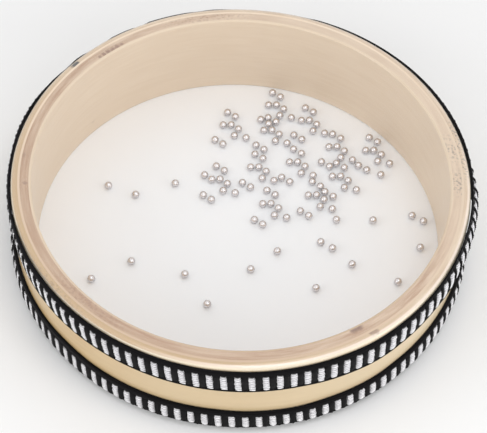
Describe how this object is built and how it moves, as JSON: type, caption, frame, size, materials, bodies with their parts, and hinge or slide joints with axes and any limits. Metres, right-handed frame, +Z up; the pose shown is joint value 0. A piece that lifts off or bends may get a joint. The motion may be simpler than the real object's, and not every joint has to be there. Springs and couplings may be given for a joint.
{
  "type": "ocean drum",
  "caption": "Round ocean drum: laminated wooden hoop, clear film head above and white film head below, woven black and white trim, loose steel shot inside.",
  "frame": {"origin": "centre of the underside, on the surface that the drum stands on", "axes": "+Z up along the hoop's axis, +Y away from the viewer towards the pile of shot, +X to the right"},
  "size_m": [0.2062, 0.2062, 0.0456],
  "materials": {
    "pale_veneer": "sanded birch veneer under clear lacquer",
    "face_veneer": "satin lacquered birch veneer",
    "core_ply": "sanded edge of the core ply",
    "clear_film": "clear polyester film",
    "white_film": "white polyester film",
    "black_tape": "woven polyester ground",
    "black_yarn": "woven polyester yarn",
    "white_yarn": "woven polyester yarn",
    "steel_shot": "polished steel"
  },
  "bodies": {
    "drum": {"inner_veneer": "pale_veneer", "inner_core_ply": "core_ply", "middle_veneer": "pale_veneer", "outer_core_ply": "core_ply", "outer_veneer": "face_veneer", "top_head": "clear_film", "bottom_head": "white_film", "upper_tape": "black_tape", "upper_white_bars": "white_yarn", "upper_black_bars": "black_yarn", "lower_tape": "black_tape", "lower_white_bars": "white_yarn", "lower_black_bars": "black_yarn"},
    "shot_cluster_01": {"shot_cluster_01": "steel_shot"},
    "shot_cluster_02": {"shot_cluster_02": "steel_shot"},
    "shot_cluster_03": {"shot_cluster_03": "steel_shot"},
    "shot_cluster_04": {"shot_cluster_04": "steel_shot"},
    "shot_cluster_05": {"shot_cluster_05": "steel_shot"},
    "shot_cluster_06": {"shot_cluster_06": "steel_shot"},
    "shot_cluster_07": {"shot_cluster_07": "steel_shot"},
    "shot_cluster_08": {"shot_cluster_08": "steel_shot"},
    "shot_cluster_09": {"shot_cluster_09": "steel_shot"},
    "shot_cluster_10": {"shot_cluster_10": "steel_shot"},
    "shot_cluster_11": {"shot_cluster_11": "steel_shot"},
    "shot_cluster_12": {"shot_cluster_12": "steel_shot"},
    "stray_ball_left": {"stray_ball_left": "steel_shot"},
    "stray_ball_right": {"stray_ball_right": "steel_shot"},
    "loose_shot_left": {"loose_shot_left": "steel_shot"},
    "loose_shot_centre": {"loose_shot_centre": "steel_shot"},
    "loose_shot_front": {"loose_shot_front": "steel_shot"},
    "loose_shot_right": {"loose_shot_right": "steel_shot"}
  },
  "joints": [
    {"name": "shot_cluster_01_hop", "type": "slide", "parent": "drum", "child": "shot_cluster_01", "axis": [0, 0, 1], "range_m": [0, 0.0413]},
    {"name": "shot_cluster_02_hop", "type": "slide", "parent": "drum", "child": "shot_cluster_02", "axis": [0, 0, 1], "range_m": [0, 0.0413]},
    {"name": "shot_cluster_03_hop", "type": "slide", "parent": "drum", "child": "shot_cluster_03", "axis": [0, 0, 1], "range_m": [0, 0.0413]},
    {"name": "shot_cluster_04_hop", "type": "slide", "parent": "drum", "child": "shot_cluster_04", "axis": [0, 0, 1], "range_m": [0, 0.0413]},
    {"name": "shot_cluster_05_hop", "type": "slide", "parent": "drum", "child": "shot_cluster_05", "axis": [0, 0, 1], "range_m": [0, 0.0413]},
    {"name": "shot_cluster_06_hop", "type": "slide", "parent": "drum", "child": "shot_cluster_06", "axis": [0, 0, 1], "range_m": [0, 0.0413]},
    {"name": "shot_cluster_07_hop", "type": "slide", "parent": "drum", "child": "shot_cluster_07", "axis": [0, 0, 1], "range_m": [0, 0.0413]},
    {"name": "shot_cluster_08_hop", "type": "slide", "parent": "drum", "child": "shot_cluster_08", "axis": [0, 0, 1], "range_m": [0, 0.0413]},
    {"name": "shot_cluster_09_hop", "type": "slide", "parent": "drum", "child": "shot_cluster_09", "axis": [0, 0, 1], "range_m": [0, 0.0413]},
    {"name": "shot_cluster_10_hop", "type": "slide", "parent": "drum", "child": "shot_cluster_10", "axis": [0, 0, 1], "range_m": [0, 0.0413]},
    {"name": "shot_cluster_11_hop", "type": "slide", "parent": "drum", "child": "shot_cluster_11", "axis": [0, 0, 1], "range_m": [0, 0.0413]},
    {"name": "shot_cluster_12_hop", "type": "slide", "parent": "drum", "child": "shot_cluster_12", "axis": [0, 0, 1], "range_m": [0, 0.0413]},
    {"name": "stray_ball_left_hop", "type": "slide", "parent": "drum", "child": "stray_ball_left", "axis": [0, 0, 1], "range_m": [0, 0.0413]},
    {"name": "stray_ball_right_hop", "type": "slide", "parent": "drum", "child": "stray_ball_right", "axis": [0, 0, 1], "range_m": [0, 0.0413]},
    {"name": "loose_shot_left_roll", "type": "slide", "parent": "drum", "child": "loose_shot_left", "axis": [0, 1, 0], "range_m": [-0.031, 0.0405]},
    {"name": "loose_shot_centre_roll", "type": "slide", "parent": "drum", "child": "loose_shot_centre", "axis": [0, 1, 0], "range_m": [-0.0475, 0.0168]},
    {"name": "loose_shot_front_roll", "type": "slide", "parent": "drum", "child": "loose_shot_front", "axis": [0, 1, 0], "range_m": [-0.0283, 0.0026]},
    {"name": "loose_shot_right_roll", "type": "slide", "parent": "drum", "child": "loose_shot_right", "axis": [0, 1, 0], "range_m": [-0.0286, 0.0157]}
  ]
}
